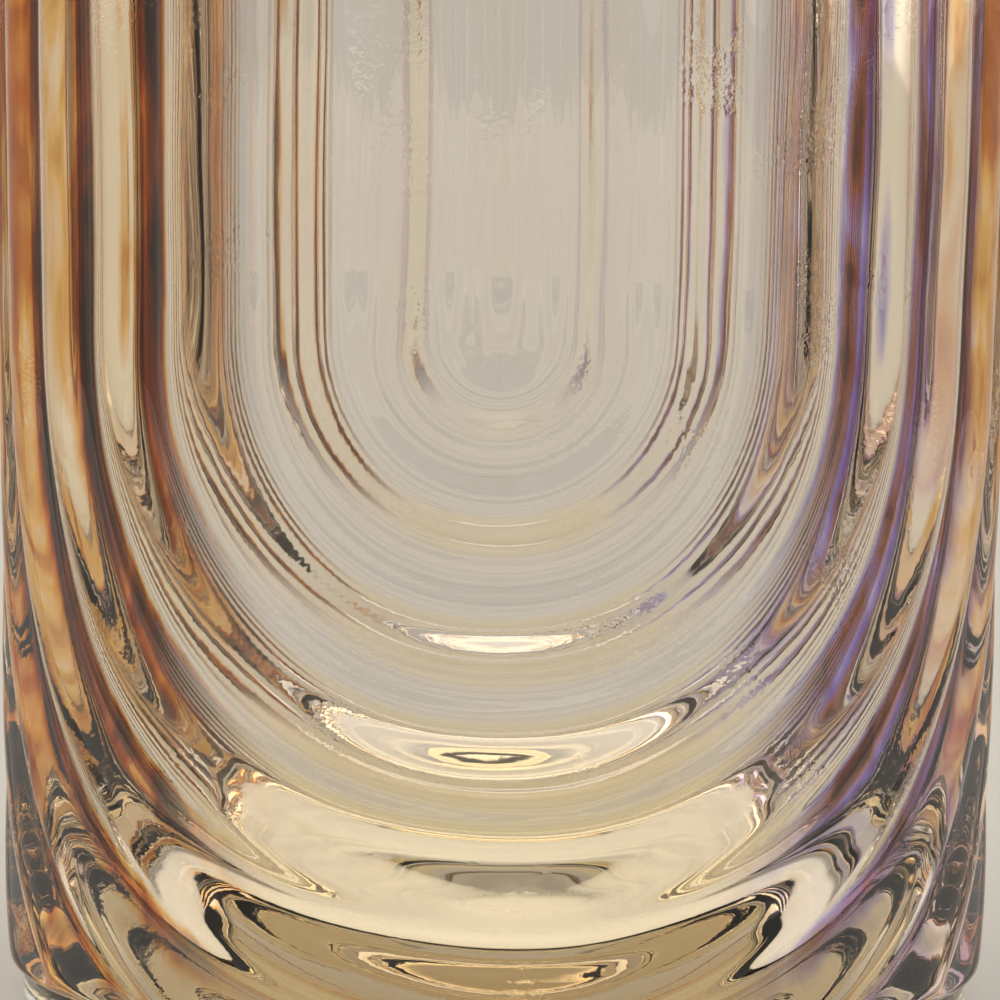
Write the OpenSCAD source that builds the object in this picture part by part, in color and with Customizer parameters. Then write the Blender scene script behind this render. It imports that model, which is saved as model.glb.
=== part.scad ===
// Hand blown art glass vase with nested arch ribs.
//
// The vase is one fused glass, made hot in stages, and each stage is a body here:
// a clear inner gather with the bore, a second gather over it that was blown into
// a ribbed mould, a clear foot under the base and the fire-polished lip on top.
//
// Millimetres, Z up. The origin is the middle of the ground foot, on the surface
// that the vase stands on. The front nest of arches faces -Y and its twin faces +Y.

/* [Vessel] */
// Height from the ground foot to the top of the lip
vase_h = 250; // [200:1:320]
// Diameter over the rib crests, at the bottom of the body
base_d = 150; // [130:1:180]
// Draft of the wall on each side, wider at the top, in degrees
draft = 1; // [0:0.1:3]
// Thickness of the second gather, measured at a rib crest
casing_t = 5; // [4:0.1:6]
// Thickness of the clear inner gather in the wall
gather_t = 3.5; // [2:0.1:5]
// Thickness of the clear inner gather under the bore
floor_t = 6; // [4:0.5:20]
// Radius that turns the wall of the bore into its floor
floor_round = 24; // [10:1:45]

/* [Arch ribs] */
// Ribs round the vase; front and back nests only meet in a groove at these counts
rib_count = 30; // [22, 26, 30, 34]
// Depth of the groove between two ribs
rib_depth = 2.6; // [1:0.1:3]
// Height of the centre that every arch is struck from
arch_z = 106; // [80:1:130]
// How narrow a groove is against its rib, where 1 is an even wave
groove_sharpness = 1.4; // [1:0.1:2]
// Height over which the ribs melt into the smooth lip
rib_fade = 16; // [8:1:30]

/* [Foot and lip] */
// Height of the clear foot
foot_h = 5; // [3:0.5:8]
// Step in from the body to the side of the foot
foot_step = 2.6; // [1:0.1:4]
// Height of the bevel that leads in to the foot
bevel_h = 3.6; // [2:0.1:6]
// Height of the fire-polished lip
lip_h = 4; // [3:0.5:6]
// Diameter of the ground hollow where the pontil was
pontil_d = 44; // [20:1:60]
// Depth of that hollow
pontil_depth = 1.4; // [0.5:0.1:2]

/* [Hidden] */

clear_glass = "#d9d3c6";
amber_glass = "#c9a878";
foot_glass = "#c9c9c6";

casing_base_z = foot_h;
vessel_base_z = foot_h + casing_t;
bore_floor_z = vessel_base_z + floor_t;
lip_z = vase_h - lip_h;
bevel_top_z = casing_base_z + bevel_h;

rib_pitch = 360 / rib_count;
rib_width = PI * base_d / rib_count;
// Share of a rib's pitch at which the surface has its points, from a crest on
round_steps = [0, 0.25, 0.4, 0.5, 0.6, 0.75];
rise_steps = [0.7, 0.5, 0.3, 0];
// Share of the fade at which it has its rings, from where it begins to the lip
fade_steps = [1, 0.66, 0.33, 0];
// Least height between two rings
least_rise = 1;
foot_bevel = 1;
// Play between the straight-sided casing and the round gather inside it
seam_gap = 0.01;
smooth = 96;
arc_step = 6;

function crest_r(z) = base_d / 2 + (z - casing_base_z) * tan(draft);
function joint_r(z) = crest_r(z) - casing_t;
function bore_r(z) = joint_r(z) - gather_t;
function blend(t) = let (u = max(0, min(1, t))) u * u * (3 - 2 * u);

// Angle from the middle of the nearer nest of arches
function nest_angle(a) = let (w = abs(a)) w > 90 ? 180 - w : w;

// Distance from the spine of the nest: sideways above the centre of the arches,
// and straight out from that centre below it, both as an angle of wrap
function arch_reach(a, z) =
    z >= arch_z
        ? nest_angle(a)
        : norm([nest_angle(a), (arch_z - z) / rib_width * rib_pitch]);

function groove(a, z) =
    rib_depth * pow((1 - cos(360 * arch_reach(a, z) / rib_pitch)) / 2, groove_sharpness);

// The ribs melt away at the lip and at the bevel over the foot
function relief(z) = blend((lip_z - z) / rib_fade) * blend((z - casing_base_z) / bevel_h);

function casing_r(a, z) = crest_r(z) - groove(a, z) * relief(z);

round_angles = [
    for (rib = [0:rib_count - 1])
        for (step = round_steps)
            (rib + step) * rib_pitch - 180
];

function ring(z, radii) = [
    for (i = [0:len(round_angles) - 1])
        [radii[i] * sin(round_angles[i]), -radii[i] * cos(round_angles[i]), z]
];

function casing_ring(z) = ring(z, [for (a = round_angles) casing_r(a, z)]);

// A straight-sided ring that stays just outside a round one of radius r
widest_step = max([for (i = [1:len(round_steps) - 1]) round_steps[i] - round_steps[i - 1]]);
function round_ring(z, r) =
    ring(z, [for (a = round_angles) r / cos(widest_step * rib_pitch / 2) + seam_gap]);

// Heights of the rings below the arch centre, from the bevel up
arch_rows = floor((arch_z - bevel_top_z) / rib_width);
arch_heights = [
    for (row = [arch_rows:-1:0])
        for (step = rise_steps)
            if (arch_z - (row + step) * rib_width > bevel_top_z + least_rise)
                arch_z - (row + step) * rib_width
];

fade_heights = [for (share = fade_steps) lip_z - rib_fade * share];

module loft(rings) {
    n = len(round_angles);
    last = len(rings) - 1;
    polyhedron(
        points = [for (r = rings) each r],
        faces = concat(
            [[for (i = [0:n - 1]) i]],
            [
                for (row = [0:last - 1])
                    for (i = [0:n - 1])
                        [row * n + i, (row + 1) * n + i, (row + 1) * n + (i + 1) % n, row * n + (i + 1) % n]
            ],
            [[for (i = [n - 1:-1:0]) last * n + i]]
        ),
        convexity = 10
    );
}

// First gather: the bore with its round-cornered floor
module inner_vessel() {
    corner_z = bore_floor_z + floor_round;
    corner_r = bore_r(corner_z) - floor_round;
    color(clear_glass)
        rotate_extrude($fn = smooth)
            polygon(concat(
                [
                    [0, vessel_base_z],
                    [joint_r(vessel_base_z), vessel_base_z],
                    [joint_r(lip_z), lip_z],
                    [bore_r(lip_z), lip_z]
                ],
                [
                    for (a = [0:arc_step:90])
                        [corner_r + floor_round * cos(a), corner_z - floor_round * sin(a)]
                ],
                [[0, bore_floor_z]]
            ));
}

// Second gather: a cup over the first, with the arch ribs on its outside
module arch_casing() {
    color(amber_glass)
        loft(concat(
            [ring(casing_base_z, [for (a = round_angles) crest_r(casing_base_z) - foot_step])],
            [casing_ring(bevel_top_z)],
            [for (z = arch_heights) casing_ring(z)],
            [for (z = fade_heights) casing_ring(z)],
            [round_ring(lip_z, joint_r(lip_z))],
            [round_ring(vessel_base_z, joint_r(vessel_base_z))]
        ));
}

// Clear foot: a disc with ground edges and the hollow of the pontil mark
module foot_pad() {
    foot_r = crest_r(casing_base_z) - foot_step;
    hollow_r = (pow(pontil_d / 2, 2) + pow(pontil_depth, 2)) / (2 * pontil_depth);
    color(foot_glass)
        difference() {
            rotate_extrude($fn = smooth)
                polygon([
                    [0, 0],
                    [foot_r - foot_bevel, 0],
                    [foot_r, foot_bevel],
                    [foot_r, casing_base_z],
                    [0, casing_base_z]
                ]);
            translate([0, 0, pontil_depth - hollow_r])
                sphere(r = hollow_r, $fn = smooth);
        }
}

// Lip: the ends of both gathers, melted together and rounded by the flame
module rim_lip() {
    wall = crest_r(lip_z) - bore_r(lip_z);
    color(clear_glass)
        rotate_extrude($fn = smooth)
            polygon([
                for (a = [0:arc_step:180])
                    [bore_r(lip_z) + wall / 2 * (1 + cos(a)), lip_z + lip_h * sin(a)]
            ]);
}

inner_vessel();
arch_casing();
foot_pad();
rim_lip();
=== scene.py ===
"""Looks of a hand blown art glass vase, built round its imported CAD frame.

The vase is one fused glass made of four bodies, and each is a closed piece here:
the clear inner gather with the bore, the lustred casing that the ribbed mould
printed with nested arches, the clear foot and the fire-polished lip. Where two
bodies of glass are fused, their faces lie a hair apart and let light straight
through, so light bends only where glass meets air, as it does in the real vase.

Metres, Z up, in the CAD's own frame. The front nest of arches faces -Y.
"""

import logging
import math
from dataclasses import dataclass, field
from enum import Enum
from typing import Any, Sequence

import bmesh
import bpy
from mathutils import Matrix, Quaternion, Vector, noise


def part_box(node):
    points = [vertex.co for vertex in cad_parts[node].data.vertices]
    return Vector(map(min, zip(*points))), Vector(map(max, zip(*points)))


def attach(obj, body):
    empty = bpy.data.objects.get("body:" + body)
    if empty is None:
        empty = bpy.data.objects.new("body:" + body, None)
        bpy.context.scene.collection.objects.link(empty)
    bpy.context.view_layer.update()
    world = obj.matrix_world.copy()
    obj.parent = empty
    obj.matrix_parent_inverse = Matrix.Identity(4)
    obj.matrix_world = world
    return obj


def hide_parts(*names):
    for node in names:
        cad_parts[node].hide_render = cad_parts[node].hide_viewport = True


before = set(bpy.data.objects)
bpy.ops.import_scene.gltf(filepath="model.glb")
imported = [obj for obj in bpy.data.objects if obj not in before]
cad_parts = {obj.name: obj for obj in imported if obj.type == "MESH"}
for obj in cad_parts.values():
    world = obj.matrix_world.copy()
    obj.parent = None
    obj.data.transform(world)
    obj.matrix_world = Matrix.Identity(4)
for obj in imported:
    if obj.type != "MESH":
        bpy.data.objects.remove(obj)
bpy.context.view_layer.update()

BODY = "root"
MM = 0.001

log = logging.getLogger("vase")

Profile = list[tuple[float, float]]
Colour = tuple[float, float, float, float]


def linear(hex_colour: str) -> Colour:
    """Turns an sRGB hex colour into the linear one that shaders take.

    Args:
        hex_colour: Six hex digits after a #.

    Returns:
        Linear red, green, blue and an alpha of 1.
    """
    channels = [int(hex_colour[i : i + 2], 16) / 255 for i in (1, 3, 5)]
    red, green, blue = (
        c / 12.92 if c <= 0.04045 else ((c + 0.055) / 1.055) ** 2.4 for c in channels
    )
    return red, green, blue, 1.0


def blend(share: float) -> float:
    """Returns a smooth step from 0 to 1 as share goes from 0 to 1."""
    t = max(0.0, min(1.0, share))
    return t * t * (3 - 2 * t)


def drift(place: Vector, grain: float, seed: float = 0.0) -> float:
    """Slow hand-made unevenness at a place.

    Args:
        place: Point on the vase.
        grain: Size of one swell, in metres.
        seed: Shifts the pattern, so that two surfaces don't share one.

    Returns:
        A number from about -1 to 1.
    """
    return noise.noise(place / grain + Vector((seed, 2 * seed, 3 * seed)))


# ---------------------------------------------------------------- shape


class Seed(Enum):
    """Shift of each uneven surface, so that no two share a pattern."""

    RIBS = 3.0
    CASING = 5.0
    DEPTH = 7.0
    BORE = 11.0
    LIP = 13.0


@dataclass(frozen=True)
class VaseForm:
    """The round form that all four bodies share, measured off the CAD nodes.

    Args:
        draft: Slope of the wall on each side, in radians.
        casing_wall: Thickness of the casing at a rib crest.
        gather_wall: Thickness of the inner gather in the wall.
        gather_floor: Thickness of the inner gather under the bore.
        foot_step: Step in from the body to the side of the foot.
        bevel_rise: Height of the bevel over the foot.
        floor_round: Radius that turns the bore into its floor.
        rib_count: Ribs round the vase.
        rib_depth: Depth of the groove between two ribs.
        groove_power: How narrow a groove is against its rib.
        arch_centre: Height of the point that every arch is struck from.
        rib_fade: Height over which the ribs melt into the lip.
        rib_wander: How far a rib strays from its place, in ribs.
        wander_grain: Size of one such stray.
        depth_wander: Share by which the depth of a groove varies.
        depth_grain: Size of one such swell in depth.
        ripple: Share of the ribs' depth that shows on the wall of the bore.
        deep_ripple: The same share low down, where the glass is thick.
        fuse_gap: Gap left between the faces of two fused bodies.
        foot_top: Height where the foot ends and the casing begins.
        foot_radius: Radius of the foot's side.
        vessel_base: Height of the inner gather's underside.
        lip_base: Height where the lip begins.
        top: Height of the lip's crown.
    """

    draft: float = math.radians(1.0)
    casing_wall: float = 5 * MM
    gather_wall: float = 3.5 * MM
    gather_floor: float = 6 * MM
    foot_step: float = 2.6 * MM
    bevel_rise: float = 3.6 * MM
    floor_round: float = 24 * MM
    rib_count: int = 30
    rib_depth: float = 2.6 * MM
    groove_power: float = 1.4
    arch_centre: float = 106 * MM
    rib_fade: float = 16 * MM
    rib_wander: float = 0.035
    wander_grain: float = 26 * MM
    depth_wander: float = 0.12
    depth_grain: float = 40 * MM
    ripple: float = 0.36
    deep_ripple: float = 0.1
    fuse_gap: float = 0.02 * MM
    foot_top: float = field(default_factory=lambda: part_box("foot_pad")[1].z)
    foot_radius: float = field(default_factory=lambda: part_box("foot_pad")[1].x)
    vessel_base: float = field(default_factory=lambda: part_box("inner_vessel")[0].z)
    lip_base: float = field(default_factory=lambda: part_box("rim_lip")[0].z)
    top: float = field(default_factory=lambda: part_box("rim_lip")[1].z)

    @property
    def floor(self) -> float:
        """Height of the bore's floor."""
        return self.vessel_base + self.gather_floor

    @property
    def pitch(self) -> float:
        """Angle from one rib to the next."""
        return math.tau / self.rib_count

    def crest_radius(self, z: float) -> float:
        """Radius over the rib crests at height z."""
        base = self.foot_radius + self.foot_step
        return base + (z - self.foot_top) * math.tan(self.draft)

    def joint_radius(self, z: float) -> float:
        """Radius at height z of the joint between the two gathers."""
        return self.crest_radius(z) - self.casing_wall

    def bore_radius(self, z: float) -> float:
        """Radius of the even bore at height z."""
        return self.joint_radius(z) - self.gather_wall

    def reach(self, place: Vector) -> float:
        """Distance of a place from the spine of its nest of arches.

        Above the arches' centre that is the way round to the spine, and below
        it the straight way to the centre, so the grooves are nested arches.

        Args:
            place: Point on the wall.

        Returns:
            The distance in ribs: a whole number on a crest, a half in a groove.
        """
        turn = abs(math.atan2(place.x, -place.y))
        turn = min(turn, math.pi - turn)
        drop = max(0.0, self.arch_centre - place.z) / self.crest_radius(self.foot_top)
        return math.hypot(turn, drop) / self.pitch

    def groove(self, place: Vector) -> float:
        """How deep in a groove a place is, from 0 on a crest to about 1."""
        ribs = self.reach(place) + self.rib_wander * drift(place, self.wander_grain, Seed.RIBS.value)
        wave = (1 - math.cos(math.tau * ribs)) / 2
        uneven = 1 + self.depth_wander * drift(place, self.depth_grain, Seed.DEPTH.value)
        return wave**self.groove_power * uneven

    def relief(self, z: float) -> float:
        """Share of the full rib depth at height z: ribs melt away at lip and foot."""
        at_lip = blend((self.lip_base - z) / self.rib_fade)
        at_foot = blend((z - self.foot_top) / self.bevel_rise)
        return at_lip * at_foot


class FaceKind(Enum):
    """What a face of a glass body meets."""

    OPEN = 0.0
    FUSED = 1.0


# How near its ideal place a point has to be to count as on a surface
NEAR = 0.1 * MM
# How far a face looks straight up or down, as the height of its normal
LEVEL = 0.9

FUSED_LAYER = "fused"
GROOVE_LAYER = "groove"
BORE_LAYER = "bore"


def spin_profile(profile: Profile, cuts: Sequence[int], turns: int) -> bmesh.types.BMesh:
    """Spins a profile about the Z axis into a closed round body.

    Args:
        profile: Radius and height of each point, from the axis round to the axis
            or back to the first point.
        cuts: How many rows each stretch of the profile is cut by, one per stretch.
        turns: Number of steps round the axis.

    Returns:
        The mesh, its doubles merged and its faces turned outwards.
    """
    mesh = bmesh.new()
    points = [mesh.verts.new((radius, 0, z)) for radius, z in profile]
    edges = [mesh.edges.new(pair) for pair in zip(points, points[1:])]
    if profile[0][0] > MM:
        edges.append(mesh.edges.new((points[-1], points[0])))
    for edge, count in zip(edges, cuts):
        if count:
            bmesh.ops.subdivide_edges(mesh, edges=[edge], cuts=count)
    bmesh.ops.spin(
        mesh,
        geom=mesh.verts[:] + mesh.edges[:],
        cent=(0, 0, 0),
        axis=(0, 0, 1),
        angle=math.tau,
        steps=turns,
        use_merge=True,
    )
    bmesh.ops.remove_doubles(mesh, verts=mesh.verts, dist=0.001 * MM)
    bmesh.ops.recalc_face_normals(mesh, faces=mesh.faces)
    return mesh


def arc(
    centre: tuple[float, float],
    radii: tuple[float, float],
    start: float,
    end: float,
    steps: int,
) -> Profile:
    """Points along part of an ellipse in a profile.

    Args:
        centre: Radius and height of the ellipse's centre.
        radii: Half sizes along the radius and the height.
        start: Angle of the first point, in degrees.
        end: Angle of the last point, in degrees.
        steps: Number of stretches.

    Returns:
        The points, both ends included.
    """
    points = []
    for step in range(steps + 1):
        turn = math.radians(start + (end - start) * step / steps)
        across = centre[0] + radii[0] * math.cos(turn)
        points.append((across, centre[1] + radii[1] * math.sin(turn)))
    return points


@dataclass
class GlassBody:
    """One body of glass: a closed round piece with its finish.

    Args:
        form: The form that all bodies share.
        name: Name of the piece.
        node: CAD node that the piece stands for.
        slot: The record's material slot; not used.
        turns: Steps round the axis.
        sharp_turn: Faces that meet at more than this angle keep a hard edge.
    """

    form: VaseForm
    name: str
    node: str
    slot: str
    turns: int = 240
    sharp_turn: float = math.radians(35)

    def shape(self) -> bmesh.types.BMesh:
        """Returns the body's mesh. Each kind of body makes its own."""
        raise NotImplementedError

    def is_fused(self, face: bmesh.types.BMFace) -> bool:
        """True for a face that is fused to another body."""
        raise NotImplementedError

    def mark(self, mesh: bmesh.types.BMesh) -> None:
        """Marks fused faces, hard edges and smooth shading.

        Args:
            mesh: The body's mesh.
        """
        layer = mesh.faces.layers.float.new(FUSED_LAYER)
        for face in mesh.faces:
            kind = FaceKind.FUSED if self.is_fused(face) else FaceKind.OPEN
            face[layer] = kind.value
            face.smooth = True
        for edge in mesh.edges:
            one, other = edge.link_faces
            gentle = one.normal.angle(other.normal, 0.0) < self.sharp_turn
            edge.smooth = gentle and one[layer] == other[layer]

    def build(self, finish: bpy.types.Material) -> bpy.types.Object:
        """Makes the piece, dresses it and ties it to the frame.

        Args:
            finish: The material of the whole piece.

        Returns:
            The finished piece.
        """
        mesh = self.shape()
        mesh.normal_update()
        self.mark(mesh)
        data = bpy.data.meshes.new(self.name)
        mesh.to_mesh(data)
        mesh.free()
        data.materials.append(finish)
        piece = bpy.data.objects.new(self.name, data)
        bpy.context.scene.collection.objects.link(piece)
        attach(piece, BODY)
        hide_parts(self.node)
        log.info("%s: %d faces", self.name, len(data.polygons))
        return piece


@dataclass
class InnerVessel(GlassBody):
    """First gather: a clear cup whose bore carries a soft ripple of the ribs.

    Args:
        wall_rows: Rows of faces up the wall of the bore.
        round_steps: Rows round the corner of its floor.
        floor_rows: Rows from that corner to the middle.
        still_radius: Radius within which the floor has no ripple.
        ripple_span: Width over which the ripple then grows to full.
        deep_top: Height below which the ripple is the deep one's.
        deep_span: Height over which it then grows to the wall's.
        swell: How far the bore swells in and out besides.
        swell_grain: Size of one swell.
        swell_fade: Height over which the swell ends below the lip.
    """

    turns: int = 360
    wall_rows: int = 110
    round_steps: int = 26
    floor_rows: int = 8
    still_radius: float = 25 * MM
    ripple_span: float = 35 * MM
    deep_top: float = 75 * MM
    deep_span: float = 35 * MM
    swell: float = 0.35 * MM
    swell_grain: float = 45 * MM
    swell_fade: float = 20 * MM

    def shape(self) -> bmesh.types.BMesh:
        """Spins the cup, then lets the ribs show faintly on its bore."""
        form = self.form
        top = form.lip_base - form.fuse_gap
        corner_z = form.floor + form.floor_round
        corner_radius = form.bore_radius(corner_z) - form.floor_round
        base = form.vessel_base
        outside = [(0, base), (form.joint_radius(base), base)]
        wall = [(form.joint_radius(top), top), (form.bore_radius(top), top)]
        round_size = (form.floor_round, form.floor_round)
        corner = arc((corner_radius, corner_z), round_size, 0, -90, self.round_steps)
        profile = outside + wall + corner + [(0, form.floor)]
        cuts = [0, 0, 0, self.wall_rows] + [0] * self.round_steps + [self.floor_rows]
        mesh = spin_profile(profile, cuts, self.turns)
        layer = mesh.verts.layers.float.new(BORE_LAYER)
        for vert in mesh.verts:
            if self.on_bore(vert.co):
                vert[layer] = 1.0
                vert.co = self.rippled(vert.co)
        return mesh

    def on_bore(self, place: Vector) -> bool:
        """True for a place on the wall or floor of the bore, below its top edge."""
        form = self.form
        radius = math.hypot(place.x, place.y)
        between = form.floor - form.fuse_gap < place.z < form.lip_base - MM
        return between and radius < form.joint_radius(place.z) - MM

    def rippled(self, place: Vector) -> Vector:
        """Moves a place on the bore by the ripple that blowing into the mould leaves."""
        form = self.form
        radius = math.hypot(place.x, place.y)
        if radius < MM:
            return place
        at_wall = blend((radius - self.still_radius) / self.ripple_span)
        rise = blend((place.z - self.deep_top) / self.deep_span)
        share = form.deep_ripple + (form.ripple - form.deep_ripple) * rise
        depth = share * form.rib_depth * form.groove(place) * form.relief(place.z)
        swell = self.swell * drift(place, self.swell_grain, Seed.BORE.value)
        swell *= blend((form.lip_base - place.z) / self.swell_fade)
        scale = (radius - (depth + swell) * at_wall) / radius
        return Vector((place.x * scale, place.y * scale, place.z))

    def is_fused(self, face: bmesh.types.BMFace) -> bool:
        """The outside of the wall, the underside and the top edge are fused."""
        place = face.calc_center_median()
        radius = math.hypot(place.x, place.y)
        outside = radius > self.form.joint_radius(place.z) - MM / 2
        under = face.normal.z < -LEVEL and place.z < self.form.floor - MM
        return outside or under or place.z > self.form.lip_base - NEAR


@dataclass
class ArchCasing(GlassBody):
    """Second gather: a cup over the first, printed with nested arch ribs.

    Args:
        arch_rows: Rows of faces below the centre of the arches.
        wall_rows: Rows above it.
        bevel_steps: Rows round the bevel over the foot.
        swell: How far the outside swells in.
        swell_grain: Size of one swell.
    """

    turns: int = 480
    arch_rows: int = 114
    wall_rows: int = 28
    bevel_steps: int = 8
    swell: float = 0.18 * MM
    swell_grain: float = 60 * MM

    def shape(self) -> bmesh.types.BMesh:
        """Spins the cup, then presses the grooves into its outside."""
        form = self.form
        gap = form.fuse_gap
        base = form.foot_top + gap
        top = form.lip_base - gap
        bevel_top = form.foot_top + form.bevel_rise
        floor = form.vessel_base - gap
        bevel = arc(
            (form.foot_radius, bevel_top),
            (form.crest_radius(bevel_top) - form.foot_radius, form.bevel_rise - gap),
            -90,
            0,
            self.bevel_steps,
        )
        profile = [(0, base)] + bevel + [
            (form.crest_radius(form.arch_centre), form.arch_centre),
            (form.crest_radius(top), top),
            (form.joint_radius(top) + gap, top),
            (form.joint_radius(floor) + gap, floor),
            (0, floor),
        ]
        cuts = [0] * (self.bevel_steps + 1) + [self.arch_rows, self.wall_rows, 0, 0, 0]
        mesh = spin_profile(profile, cuts, self.turns)
        layer = mesh.verts.layers.float.new(GROOVE_LAYER)
        for vert in mesh.verts:
            radius = math.hypot(vert.co.x, vert.co.y)
            if radius > form.crest_radius(vert.co.z) - form.foot_step - NEAR:
                groove = form.groove(vert.co)
                vert[layer] = groove
                vert.co = self.pressed(vert.co, radius, groove)
        return mesh

    def pressed(self, place: Vector, radius: float, groove: float) -> Vector:
        """Moves a place on the outside in by the groove there."""
        form = self.form
        swell = self.swell * (drift(place, self.swell_grain, Seed.CASING.value) - 1)
        swell *= form.relief(place.z)
        scale = (radius - form.rib_depth * groove * form.relief(place.z) + swell) / radius
        return Vector((place.x * scale, place.y * scale, place.z))

    def is_fused(self, face: bmesh.types.BMFace) -> bool:
        """The inside of the cup, its underside and its top edge are fused."""
        place = face.calc_center_median()
        radius = math.hypot(place.x, place.y)
        inside = radius < self.form.joint_radius(place.z) + MM / 2
        return inside or place.z > self.form.lip_base - NEAR


@dataclass
class FootPad(GlassBody):
    """Clear foot, ground flat, with the polished hollow of the pontil mark.

    Args:
        hollow_radius: Radius of the hollow.
        hollow_depth: Depth of the hollow.
        hollow_steps: Rows across the hollow.
        edge: Radius of the ground edge.
        edge_steps: Rows round that edge.
    """

    hollow_radius: float = 22 * MM
    hollow_depth: float = 1.4 * MM
    hollow_steps: int = 10
    edge: float = 1.0 * MM
    edge_steps: int = 6

    def shape(self) -> bmesh.types.BMesh:
        """Spins the disc with its rounded ground edge and its hollow."""
        form = self.form
        top = form.foot_top - form.fuse_gap
        side = form.foot_radius
        sphere = (self.hollow_radius**2 + self.hollow_depth**2) / (2 * self.hollow_depth)
        half_turn = math.degrees(math.asin(self.hollow_radius / sphere))
        centre = (0, self.hollow_depth - sphere)
        hollow = arc(centre, (sphere, sphere), 90, 90 - half_turn, self.hollow_steps)
        edge = arc((side - self.edge, self.edge), (self.edge, self.edge), -90, 0, self.edge_steps)
        profile = hollow + edge + [(side, top), (0, top)]
        cuts = [0] * (len(profile) - 1)
        return spin_profile(profile, cuts, self.turns)

    def is_fused(self, face: bmesh.types.BMFace) -> bool:
        """The top of the disc is fused."""
        return face.normal.z > LEVEL and face.calc_center_median().z > self.form.foot_top - MM


@dataclass
class RimLip(GlassBody):
    """Fire-polished lip that closes the wall with a soft round.

    Args:
        crown_steps: Rows over the crown.
        base_rows: Rows across the flat underside, less one.
        droop: How far the flame let the crown sink, on average.
        droop_grain: Size of one dip.
    """

    turns: int = 360
    crown_steps: int = 20
    base_rows: int = 4
    droop: float = 0.25 * MM
    droop_grain: float = 50 * MM

    def shape(self) -> bmesh.types.BMesh:
        """Spins the half round and lets its crown run a little uneven."""
        form = self.form
        inner = form.bore_radius(form.lip_base)
        outer = form.crest_radius(form.lip_base)
        half = (outer - inner) / 2
        size = (half, form.top - form.lip_base)
        crown = arc((inner + half, form.lip_base), size, 0, 180, self.crown_steps)
        mesh = spin_profile(crown, [0] * self.crown_steps + [self.base_rows], self.turns)
        for vert in mesh.verts:
            rise = (vert.co.z - form.lip_base) / (form.top - form.lip_base)
            vert.co.z -= self.droop * rise * (1 + drift(vert.co, self.droop_grain, Seed.LIP.value))
        return mesh

    def is_fused(self, face: bmesh.types.BMFace) -> bool:
        """The flat underside is fused."""
        return face.normal.z < -LEVEL


# ---------------------------------------------------------------- finishes

# How much light soda-lime glass bends
GLASS_IOR = 1.51
# Warm white of the lights
LIGHT = "#fbf4e8"
# Names of the operations that several nodes share
SOFT = {"interpolation_type": "SMOOTHSTEP"}
COLOUR = {"data_type": "RGBA"}


def add_node(
    tree: bpy.types.NodeTree, kind: str, settings: dict[str, Any], inputs: dict[Any, Any]
) -> bpy.types.Node:
    """Adds a shader node with its settings and links.

    Args:
        tree: Node tree to add it to.
        kind: Blender's name of the node's type.
        settings: Properties of the node.
        inputs: For each input socket, by name or number, a socket to link or a value.

    Returns:
        The new node.
    """
    node = tree.nodes.new(kind)
    for key, value in settings.items():
        setattr(node, key, value)
    for key, value in inputs.items():
        if isinstance(value, bpy.types.NodeSocket):
            tree.links.new(value, node.inputs[key])
        else:
            node.inputs[key].default_value = value
    return node


def new_tree(name: str) -> tuple[bpy.types.Material, bpy.types.NodeTree]:
    """Makes an empty material and returns it with its node tree."""
    material = bpy.data.materials.new(name)
    material.use_nodes = True
    material.node_tree.nodes.clear()
    return material, material.node_tree


@dataclass(frozen=True)
class BlownGlass:
    """Soda-lime glass, blown and fire-polished: clear, hard and wet-looking.

    Args:
        name: Name of the material.
        tint: Colour that deep glass turns to.
        tint_depth: Density of the tint, per metre.
        bore_haze: Roughness of the bore, which no tool has touched but which
            carries a faint haze.
        cord_pitch: Spacing of the fine cords in the glass, in metres.
        cord_height: How far a cord stands proud, in metres.
        cord_stretch: Width of a cord over its length.
    """

    name: str
    tint: str = "#e9dfcb"
    tint_depth: float = 9.0
    bore_haze: float = 0.035
    cord_pitch: float = 3.5 * MM
    cord_height: float = 0.012 * MM
    cord_stretch: float = 0.08

    def material(self) -> bpy.types.Material:
        """Builds the material.

        Returns:
            A material whose fused faces let light straight through.
        """
        # Clear glass gives the eye sharp highlights and a soft, slightly blurred bore
        material, tree = new_tree(self.name)
        places = add_node(tree, "ShaderNodeTexCoord", {}, {})
        bore = add_node(tree, "ShaderNodeAttribute", {"attribute_name": BORE_LAYER}, {})
        hazy = {0: bore.outputs["Fac"], 1: self.bore_haze}
        haze = add_node(tree, "ShaderNodeMath", {"operation": "MULTIPLY"}, hazy)
        fine = 1 / self.cord_pitch
        stretched = add_node(
            tree,
            "ShaderNodeMapping",
            {},
            {
                "Vector": places.outputs["Object"],
                "Scale": (fine, fine, self.cord_stretch / self.cord_pitch),
            },
        )
        cords = add_node(
            tree,
            "ShaderNodeTexNoise",
            {},
            {"Vector": stretched.outputs["Vector"], "Scale": 1.0, "Detail": 3.0},
        )
        bump = add_node(
            tree,
            "ShaderNodeBump",
            {},
            {"Height": cords.outputs["Fac"], "Distance": self.cord_height, "Strength": 1.0},
        )
        glass = add_node(
            tree,
            "ShaderNodeBsdfPrincipled",
            {},
            {
                "Base Color": (1, 1, 1, 1),
                "Transmission Weight": 1.0,
                "IOR": GLASS_IOR,
                "Roughness": haze.outputs[0],
                "Normal": bump.outputs["Normal"],
            },
        )
        finish_glass(tree, glass, self.tint, self.tint_depth)
        return material


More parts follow.
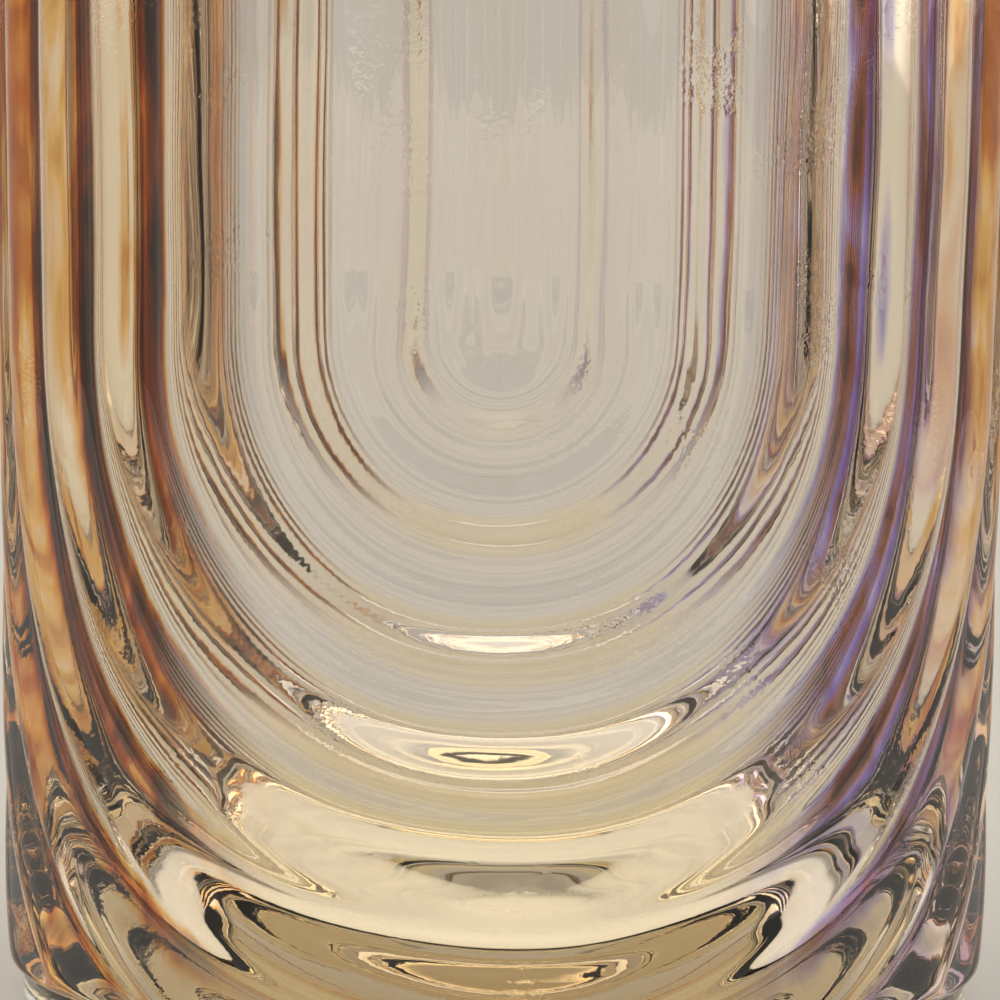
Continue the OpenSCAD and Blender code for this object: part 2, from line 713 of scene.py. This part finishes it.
def finish_glass(tree: bpy.types.NodeTree, glass: bpy.types.Node, tint: str, depth: float) -> None:
    """Adds what every glass body has: fused faces that pass light, and its tint in depth.

    Args:
        tree: The material's node tree.
        glass: The node that shades the open faces.
        tint: Colour that deep glass turns to.
        depth: Density of that tint, per metre.
    """
    fused = add_node(tree, "ShaderNodeAttribute", {"attribute_name": FUSED_LAYER}, {})
    through = add_node(tree, "ShaderNodeBsdfTransparent", {}, {})
    surface = add_node(
        tree,
        "ShaderNodeMixShader",
        {},
        {0: fused.outputs["Fac"], 1: glass.outputs[0], 2: through.outputs[0]},
    )
    volume = add_node(tree, "ShaderNodeVolumeAbsorption", {}, {"Color": linear(tint), "Density": depth})
    add_node(
        tree, "ShaderNodeOutputMaterial", {}, {"Surface": surface.outputs[0], "Volume": volume.outputs[0]}
    )


@dataclass(frozen=True)
class LustreAndPaintedLightGlass:
    """Amber glass with a fumed metal lustre that pools in the grooves, and painted light and shade.

    The lustre turns rust and gold on one side of the vase and mauve and
    lavender on the other; the mauve and lavender are partly a painted
    reflection of the light on that side. The near-black cores where it
    lies thick are painted shade in the grooves.

    Args:
        name: Name of the material.
        tint: Colour that deep glass turns to.
        tint_depth: Density of that tint, per metre.
        side_start: Distance from the middle plane at which the lustre sets in.
        side_full: Distance at which it is full.
        wall_painted_shade: Film over the wall in front and behind, a faint grey of painted shade.
        base_painted_glow: Film over the thick base, more golden, a painted glow of light through it.
        gold_top: Height below which the film turns golden.
        gold_full: Height at which it is fully golden.
        rim_start: Distance at which the film starts to cover the ribs too, as painted shade towards the
            sides.
        rim_full: Distance at which it covers them.
        skirt: Height below which the film, with its painted side shade, spreads further in from the sides.
        skirt_spread: How much further it has spread at the base.
        base_lustre_and_shade_share: Share of the lustre's thickness, and of its painted groove shade, that is
            left at the base, which paints the base lighter.
        marble: Size of its marbling.
        cord_pitch: Spacing of the fine cords in the glass.
        cord_height: How far a cord stands proud.
        chill_patch: Size of a patch of chill marks, where the mould was cold.
        chill_grain: Size of one wrinkle in it.
        chill_height: Height of one wrinkle.
        chill_span: Level of the patches at which a mark starts, and is full.
        rim_painted_shade: Thickness that the film reaches over the ribs at the sides, painted shade there.
        rust_inset: How far in from the film's edge the cool side turns rust.
        marble_gain: How far the marbling shifts the film's thickness.
        marble_level: What is added, to keep its middle where it is.
        marble_stretch: Width of a vein over its length.
        cord_stretch: Width of a cord over its length.
        warm: Film's colour at -X for each thickness; its darkest stops are painted shade in the grooves.
        cool: Film's colour at +X for each thickness, partly a painted reflection of the light on that side;
            its darkest stops are painted shade in the grooves.
    """

    name: str = "amber_lustre_painted_light_glass"
    tint: str = "#e4c690"
    tint_depth: float = 15.0
    side_start: float = 28 * MM
    side_full: float = 50 * MM
    wall_painted_shade: str = "#f4f1ef"
    base_painted_glow: str = "#fdeec4"
    gold_top: float = 62 * MM
    gold_full: float = 34 * MM
    rim_start: float = 62 * MM
    rim_full: float = 75 * MM
    skirt: float = 60 * MM
    skirt_spread: float = 14 * MM
    base_lustre_and_shade_share: float = 0.7
    marble: float = 9 * MM
    cord_pitch: float = 3.0 * MM
    cord_height: float = 0.02 * MM
    chill_patch: float = 16 * MM
    chill_grain: float = 1.2 * MM
    chill_height: float = 0.05 * MM
    chill_span: tuple[float, float] = (0.57, 0.62)
    rim_painted_shade: float = 0.64
    rust_inset: float = 6 * MM
    marble_gain: float = 0.76
    marble_level: float = -0.40
    marble_stretch: float = 0.25
    cord_stretch: float = 0.06

    # Near-black ends of both ramps are painted shade in the grooves
    warm: tuple[tuple[float, str], ...] = (
        (0.40, "#fbf0d6"),
        (0.58, "#e8a038"),
        (0.70, "#a03a05"),
        (0.82, "#4c1002"),
        (0.95, "#1c0702"),
        (1.00, "#060302"),
    )
    cool: tuple[tuple[float, str], ...] = (
        (0.40, "#faf4e6"),
        (0.56, "#c0bbf8"),
        (0.70, "#8273cc"),
        (0.82, "#6c4684"),
        (0.92, "#6e2c18"),
        (0.99, "#260a04"),
    )

    def ramp(
        self,
        tree: bpy.types.NodeTree,
        value: bpy.types.NodeSocket,
        stops: Sequence[tuple[float, str]],
    ) -> bpy.types.NodeSocket:
        """Adds a colour ramp.

        Args:
            tree: The material's node tree.
            value: What the ramp reads.
            stops: Place and sRGB colour of each stop.

        Returns:
            The ramp's colour.
        """
        node = add_node(tree, "ShaderNodeValToRGB", {}, {"Fac": value})
        elements = node.color_ramp.elements
        while len(elements) < len(stops):
            elements.new(0.5)
        for element, (place, colour) in zip(elements, stops):
            element.position = place
            element.color = linear(colour)
        return node.outputs["Color"]

    def material(self) -> bpy.types.Material:
        """Builds the material.

        Returns:
            A material whose fused faces let light straight through.
        """
        # Lustre colour and painted shade give the eye dark, coloured lines in the grooves and clear ribs
        # between
        material, tree = new_tree(self.name)
        places = add_node(tree, "ShaderNodeTexCoord", {}, {}).outputs["Object"]
        groove_layer = {"attribute_name": GROOVE_LAYER}
        groove = add_node(tree, "ShaderNodeAttribute", groove_layer, {}).outputs["Fac"]
        vein = 1 / self.marble
        along = add_node(
            tree,
            "ShaderNodeMapping",
            {},
            {"Vector": places, "Scale": (vein, vein, self.marble_stretch / self.marble)},
        ).outputs["Vector"]
        marbling = add_node(
            tree,
            "ShaderNodeTexNoise",
            {},
            {"Vector": along, "Scale": 1.0, "Detail": 4.0, "Distortion": 1.2},
        ).outputs["Fac"]
        uneven = add_node(
            tree,
            "ShaderNodeMath",
            {"operation": "MULTIPLY_ADD"},
            {0: marbling, 1: self.marble_gain, 2: self.marble_level},
        ).outputs[0]
        across = add_node(tree, "ShaderNodeSeparateXYZ", {}, {"Vector": places}).outputs["X"]
        sideways = add_node(tree, "ShaderNodeMath", {"operation": "ABSOLUTE"}, {0: across}).outputs[0]
        height = add_node(tree, "ShaderNodeSeparateXYZ", {}, {"Vector": places}).outputs["Z"]
        # Painted shade towards the sides: the film covers the ribs too near the silhouette, and further in
        # near the base
        low = add_node(
            tree,
            "ShaderNodeMapRange",
            {},
            {"Value": height, "From Min": self.skirt, "From Max": 0.0, "To Max": self.skirt_spread},
        ).outputs[0]
        spread = add_node(tree, "ShaderNodeMath", {"operation": "ADD"}, {0: sideways, 1: low}).outputs[0]
        at_rim = add_node(
            tree,
            "ShaderNodeMapRange",
            {},
            {
                "Value": spread,
                "From Min": self.rim_start,
                "From Max": self.rim_full,
                "To Max": self.rim_painted_shade,
            },
        ).outputs[0]
        # Painted light at the base: the lustre and its painted shade thin out towards the foot
        lighter_towards_base = add_node(
            tree,
            "ShaderNodeMapRange",
            {},
            {
                "Value": height,
                "From Min": self.skirt,
                "From Max": 0.0,
                "To Min": 1.0,
                "To Max": self.base_lustre_and_shade_share,
            },
        ).outputs[0]
        groove = add_node(
            tree, "ShaderNodeMath", {"operation": "MULTIPLY"}, {0: groove, 1: lighter_towards_base}
        ).outputs[0]
        # Depth of lustre and painted shade: the grooves, and the ribs near the sides
        groove_and_side_shade = add_node(
            tree, "ShaderNodeMath", {"operation": "MAXIMUM"}, {0: groove, 1: at_rim}
        ).outputs[0]
        lustre_and_painted_shade = add_node(tree, "ShaderNodeMath", {"operation": "ADD"}, {0: groove_and_side_shade, 1: uneven}).outputs[0]
        warm = self.ramp(tree, lustre_and_painted_shade, self.warm)
        cool = self.ramp(tree, lustre_and_painted_shade, self.cool)
        # Rust and gold on -X; on +X the mauve and lavender are partly a painted reflection of the light on
        # that side
        left = add_node(
            tree,
            "ShaderNodeMapRange",
            SOFT,
            {"Value": across, "From Min": -self.side_start, "From Max": -self.side_full},
        ).outputs[0]
        right = add_node(
            tree,
            "ShaderNodeMapRange",
            SOFT,
            {"Value": across, "From Min": self.side_start, "From Max": self.side_full},
        ).outputs[0]
        far_right = add_node(
            tree,
            "ShaderNodeMapRange",
            SOFT,
            {"Value": across, "From Min": self.rim_start + self.rust_inset, "From Max": self.rim_full},
        ).outputs[0]
        cool = add_node(tree, "ShaderNodeMix", COLOUR, {0: far_right, 6: cool, 7: warm}).outputs[2]
        # Painted glow and shade in the middle: golden towards the base, faintly grey on the wall above
        thick = add_node(
            tree,
            "ShaderNodeMapRange",
            SOFT,
            {"Value": height, "From Min": self.gold_top, "From Max": self.gold_full},
        ).outputs[0]
        plain = add_node(
            tree,
            "ShaderNodeMix",
            COLOUR,
            {0: thick, 6: linear(self.wall_painted_shade), 7: linear(self.base_painted_glow)},
        ).outputs[2]
        amber = add_node(tree, "ShaderNodeMix", COLOUR, {0: left, 6: plain, 7: warm}).outputs[2]
        film = add_node(tree, "ShaderNodeMix", COLOUR, {0: right, 6: amber, 7: cool}).outputs[2]
        fine = 1 / self.cord_pitch
        stretched = add_node(
            tree,
            "ShaderNodeMapping",
            {},
            {"Vector": places, "Scale": (fine, fine, self.cord_stretch / self.cord_pitch)},
        ).outputs["Vector"]
        cords = add_node(
            tree, "ShaderNodeTexNoise", {}, {"Vector": stretched, "Scale": 1.0, "Detail": 1.0}
        ).outputs["Fac"]
        bump = add_node(
            tree, "ShaderNodeBump", {}, {"Height": cords, "Distance": self.cord_height, "Strength": 1.0}
        ).outputs["Normal"]
        patches = add_node(
            tree, "ShaderNodeTexNoise", {}, {"Vector": places, "Scale": 1 / self.chill_patch, "Detail": 5.0}
        ).outputs["Fac"]
        chilled = add_node(
            tree,
            "ShaderNodeMapRange",
            SOFT,
            {"Value": patches, "From Min": self.chill_span[0], "From Max": self.chill_span[1]},
        ).outputs[0]
        wrinkles = add_node(
            tree, "ShaderNodeTexNoise", {}, {"Vector": places, "Scale": 1 / self.chill_grain, "Detail": 2.0}
        ).outputs["Fac"]
        bump = add_node(
            tree,
            "ShaderNodeBump",
            {},
            {"Height": wrinkles, "Distance": self.chill_height, "Strength": chilled, "Normal": bump},
        ).outputs["Normal"]
        glass = add_node(
            tree,
            "ShaderNodeBsdfPrincipled",
            {},
            {
                "Base Color": film,
                "Transmission Weight": 1.0,
                "IOR": GLASS_IOR,
                "Roughness": 0.0,
                "Normal": bump,
            },
        )
        finish_glass(tree, glass, self.tint, self.tint_depth)
        return material


# ---------------------------------------------------------------- studio


@dataclass
class Studio:
    """Pale table, soft light and the camera.

    Args:
        distance: From the vase's axis to the camera.
        pitch: How far the camera looks down, in degrees.
        roll: How far it is turned about its own line of sight, in degrees.
        aim_height: Height on the axis that it looks at.
        lens: Focal length, in millimetres.
        table_glow: Light that the opal table lets up through it.
        disc_glow: Light that it lets up through its window under the foot besides.
        disc_radius: Radius of that window, which the foot hides.
        surround: Strength of the soft light from all round.
        overhead: Strength of the soft light from above.
        sides: Strength that the soft panels at both sides add.
        overhead_span: Rise of a ray at which the light above starts, and is full.
        sides_span: Sideways part of a ray at which a side panel does.
        table_size: Half the width of the table.
        table_drop: How far it lies under the foot, so that faces don't meet.
        disc_edge: Width over which the window's light ends.
        reach: Nearest and farthest that the camera sees.
        bounces: Turns of light inside the glass, and passes through fused faces.
    """

    table_glow: float = 0.27
    disc_glow: float = 0.6
    disc_radius: float = 71 * MM
    surround: float = 0.6
    sides: float = 0.9
    overhead: float = 2.6
    distance: float = 0.9
    pitch: float = 6.0
    roll: float = 0.7
    aim_height: float = 76 * MM
    lens: float = 212.0
    overhead_span: tuple[float, float] = (0.6, 0.95)
    sides_span: tuple[float, float] = (0.5, 0.85)
    table_size: float = 4.0
    table_drop: float = 0.05 * MM
    disc_edge: float = 4 * MM
    reach: tuple[float, float] = (0.01, 100.0)
    bounces: tuple[int, int] = (36, 64)

    def camera(self) -> None:
        """Adds the camera."""
        data = bpy.data.cameras.new("camera")
        data.lens = self.lens
        data.clip_start, data.clip_end = self.reach
        camera = bpy.data.objects.new("camera", data)
        bpy.context.scene.collection.objects.link(camera)
        bpy.context.scene.camera = camera
        pitch = math.radians(self.pitch)
        back = Vector((0, -math.cos(pitch), math.sin(pitch)))
        camera.location = Vector((0, 0, self.aim_height)) + back * self.distance
        camera.rotation_mode = "QUATERNION"
        roll = Quaternion((0, 0, 1), math.radians(self.roll))
        camera.rotation_quaternion = (-back).to_track_quat("-Z", "Y") @ roll

    def floor(self) -> None:
        """Adds the table top, with its lit window under the foot."""
        mesh = bmesh.new()
        bmesh.ops.create_grid(mesh, x_segments=1, y_segments=1, size=self.table_size)
        bmesh.ops.translate(mesh, verts=mesh.verts, vec=(0, 0, -self.table_drop))
        data = bpy.data.meshes.new("floor")
        mesh.to_mesh(data)
        mesh.free()
        floor = bpy.data.objects.new("floor", data)
        bpy.context.scene.collection.objects.link(floor)
        # Opal table top: matt and lit from beneath, so it looks pale and its shadows are soft
        material, tree = new_tree("pale_table")
        places = add_node(tree, "ShaderNodeTexCoord", {}, {}).outputs["Object"]
        spread = add_node(tree, "ShaderNodeVectorMath", {"operation": "LENGTH"}, {0: places}).outputs["Value"]
        glow = add_node(
            tree,
            "ShaderNodeMapRange",
            SOFT,
            {
                "Value": spread,
                "From Min": self.disc_radius,
                "From Max": self.disc_radius - self.disc_edge,
                "To Min": self.table_glow,
                "To Max": self.table_glow + self.disc_glow,
            },
        ).outputs[0]
        shader = add_node(
            tree,
            "ShaderNodeBsdfPrincipled",
            {},
            {
                "Base Color": linear("#84827e"),
                "Roughness": 0.9,
                "Emission Color": linear(LIGHT),
                "Emission Strength": glow,
            },
        )
        add_node(tree, "ShaderNodeOutputMaterial", {}, {"Surface": shader.outputs[0]})
        data.materials.append(material)

    def light(self) -> None:
        """Adds the soft light from all round, overhead and at both sides."""
        world = bpy.data.worlds.new("studio")
        bpy.context.scene.world = world
        world.use_nodes = True
        tree = world.node_tree
        tree.nodes.clear()
        ray = add_node(tree, "ShaderNodeTexCoord", {}, {}).outputs["Generated"]
        rise = add_node(tree, "ShaderNodeSeparateXYZ", {}, {"Vector": ray}).outputs["Z"]
        level = add_node(
            tree,
            "ShaderNodeMapRange",
            SOFT,
            {
                "Value": rise,
                "From Min": self.overhead_span[0],
                "From Max": self.overhead_span[1],
                "To Min": self.surround,
                "To Max": self.overhead,
            },
        ).outputs[0]
        sideways = add_node(tree, "ShaderNodeSeparateXYZ", {}, {"Vector": ray}).outputs["X"]
        sideways = add_node(tree, "ShaderNodeMath", {"operation": "ABSOLUTE"}, {0: sideways}).outputs[0]
        side = add_node(
            tree,
            "ShaderNodeMapRange",
            SOFT,
            {
                "Value": sideways,
                "From Min": self.sides_span[0],
                "From Max": self.sides_span[1],
                "To Max": self.sides,
            },
        ).outputs[0]
        level = add_node(tree, "ShaderNodeMath", {"operation": "ADD"}, {0: level, 1: side}).outputs[0]
        sky = add_node(tree, "ShaderNodeBackground", {}, {"Color": linear(LIGHT), "Strength": level})
        add_node(tree, "ShaderNodeOutputWorld", {}, {"Surface": sky.outputs[0]})
        bpy.context.scene.view_settings.view_transform = "Standard"

    def build(self) -> None:
        """Sets up the whole studio."""
        self.camera()
        self.floor()
        self.light()
        cycles = bpy.context.scene.cycles
        cycles.max_bounces, cycles.transparent_max_bounces = self.bounces
        cycles.transmission_bounces = self.bounces[0]


def main() -> None:
    """Builds the four bodies, their finishes and the studio."""
    logging.basicConfig(level=logging.INFO, format="%(name)s: %(message)s")
    form = VaseForm()
    clear = BlownGlass("clear_blown_glass").material()
    # The casing's finish: lustre colour with painted shade and painted reflection
    lustre = LustreAndPaintedLightGlass().material()
    foot = BlownGlass("clear_foot_glass", tint="#dfe0dc", tint_depth=9.0).material()
    lip = BlownGlass("fire_polished_glass").material()
    InnerVessel(form, "inner_vessel_glass", "inner_vessel", "clear_gather").build(clear)
    ArchCasing(form, "arch_casing_glass", "arch_casing", "amber_casing").build(lustre)
    FootPad(form, "foot_pad_glass", "foot_pad", "clear_foot").build(foot)
    RimLip(form, "rim_lip_glass", "rim_lip", "clear_lip").build(lip)
    Studio().build()


if __name__ == "__main__":
    main()
